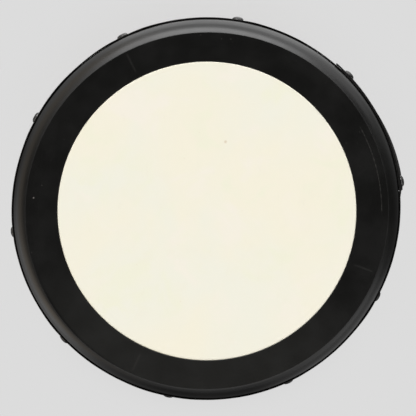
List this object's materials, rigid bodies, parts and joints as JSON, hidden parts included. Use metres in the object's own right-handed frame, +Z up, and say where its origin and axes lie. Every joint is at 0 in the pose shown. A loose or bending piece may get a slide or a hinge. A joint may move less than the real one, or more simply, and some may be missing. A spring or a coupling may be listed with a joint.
{
  "type": "darbuka drum",
  "caption": "Goblet hand drum with a film head, a flat tuning ring drawn down by bolts from under the flange, and a tacked edging strip round the rim.",
  "frame": {"origin": "centre of the foot's resting plane", "axes": "+Z up the drum's axis to the playing surface; +X towards the lap of the edging strip; +Y completes the right-handed frame"},
  "size_m": [0.2853, 0.2826, 0.44],
  "materials": {
    "shell_wood": "black satin lacquer",
    "ring_lacquer": "black satin lacquer",
    "foot_rubber": "matte",
    "head_film": "matte",
    "hoop_metal": "satin",
    "resin": "gloss",
    "insert_brass": "satin",
    "bolt_steel": "black oxide",
    "washer_steel": "zinc",
    "strip_vinyl": "satin",
    "tack_steel": "darkened"
  },
  "bodies": {
    "shell": {"bowl_shell": "shell_wood", "stem_foot": "shell_wood", "foot_ring": "foot_rubber", "drum_skin": "head_film", "bolt_washers": "washer_steel", "edge_strip": "strip_vinyl", "strip_tacks": "tack_steel"},
    "ring": {"tuning_ring": "ring_lacquer", "ring_inserts": "insert_brass", "flesh_hoop": "hoop_metal", "hoop_resin": "resin"},
    "bolt_01": {"tuning_bolt_01": "bolt_steel"},
    "bolt_02": {"tuning_bolt_02": "bolt_steel"},
    "bolt_03": {"tuning_bolt_03": "bolt_steel"},
    "bolt_04": {"tuning_bolt_04": "bolt_steel"},
    "bolt_05": {"tuning_bolt_05": "bolt_steel"},
    "bolt_06": {"tuning_bolt_06": "bolt_steel"},
    "bolt_07": {"tuning_bolt_07": "bolt_steel"},
    "bolt_08": {"tuning_bolt_08": "bolt_steel"},
    "bolt_09": {"tuning_bolt_09": "bolt_steel"},
    "bolt_10": {"tuning_bolt_10": "bolt_steel"}
  },
  "joints": [
    {"name": "ring_tension", "type": "slide", "parent": "shell", "child": "ring", "axis": [0, 0, -1], "range_m": [-0.003, 0.002], "deforming": ["drum_skin"]},
    {"name": "bolt_turn_01", "type": "hinge", "parent": "shell", "child": "bolt_01", "pos_m": [0.11524, 0.05571, 0.4], "axis": [0, 0, 1], "range_deg": [-1080, 720]},
    {"name": "bolt_turn_02", "type": "hinge", "parent": "shell", "child": "bolt_02", "pos_m": [0.06049, 0.11281, 0.4], "axis": [0, 0, 1], "range_deg": [-1080, 720]},
    {"name": "bolt_turn_03", "type": "hinge", "parent": "shell", "child": "bolt_03", "pos_m": [-0.01737, 0.12682, 0.4], "axis": [0, 0, 1], "range_deg": [-1080, 720]},
    {"name": "bolt_turn_04", "type": "hinge", "parent": "shell", "child": "bolt_04", "pos_m": [-0.08859, 0.09239, 0.4], "axis": [0, 0, 1], "range_deg": [-1080, 720]},
    {"name": "bolt_turn_05", "type": "hinge", "parent": "shell", "child": "bolt_05", "pos_m": [-0.12598, 0.02267, 0.4], "axis": [0, 0, 1], "range_deg": [-1080, 720]},
    {"name": "bolt_turn_06", "type": "hinge", "parent": "shell", "child": "bolt_06", "pos_m": [-0.11524, -0.05571, 0.4], "axis": [0, 0, 1], "range_deg": [-1080, 720]},
    {"name": "bolt_turn_07", "type": "hinge", "parent": "shell", "child": "bolt_07", "pos_m": [-0.06049, -0.11281, 0.4], "axis": [0, 0, 1], "range_deg": [-1080, 720]},
    {"name": "bolt_turn_08", "type": "hinge", "parent": "shell", "child": "bolt_08", "pos_m": [0.01737, -0.12682, 0.4], "axis": [0, 0, 1], "range_deg": [-1080, 720]},
    {"name": "bolt_turn_09", "type": "hinge", "parent": "shell", "child": "bolt_09", "pos_m": [0.08859, -0.09239, 0.4], "axis": [0, 0, 1], "range_deg": [-1080, 720]},
    {"name": "bolt_turn_10", "type": "hinge", "parent": "shell", "child": "bolt_10", "pos_m": [0.12598, -0.02267, 0.4], "axis": [0, 0, 1], "range_deg": [-1080, 720]}
  ],
  "couplings": [
    {"joint": "bolt_turn_01", "follows": "ring_tension", "rad_per_m": 6283.2},
    {"joint": "bolt_turn_02", "follows": "ring_tension", "rad_per_m": 6283.2},
    {"joint": "bolt_turn_03", "follows": "ring_tension", "rad_per_m": 6283.2},
    {"joint": "bolt_turn_04", "follows": "ring_tension", "rad_per_m": 6283.2},
    {"joint": "bolt_turn_05", "follows": "ring_tension", "rad_per_m": 6283.2},
    {"joint": "bolt_turn_06", "follows": "ring_tension", "rad_per_m": 6283.2},
    {"joint": "bolt_turn_07", "follows": "ring_tension", "rad_per_m": 6283.2},
    {"joint": "bolt_turn_08", "follows": "ring_tension", "rad_per_m": 6283.2},
    {"joint": "bolt_turn_09", "follows": "ring_tension", "rad_per_m": 6283.2},
    {"joint": "bolt_turn_10", "follows": "ring_tension", "rad_per_m": 6283.2}
  ]
}
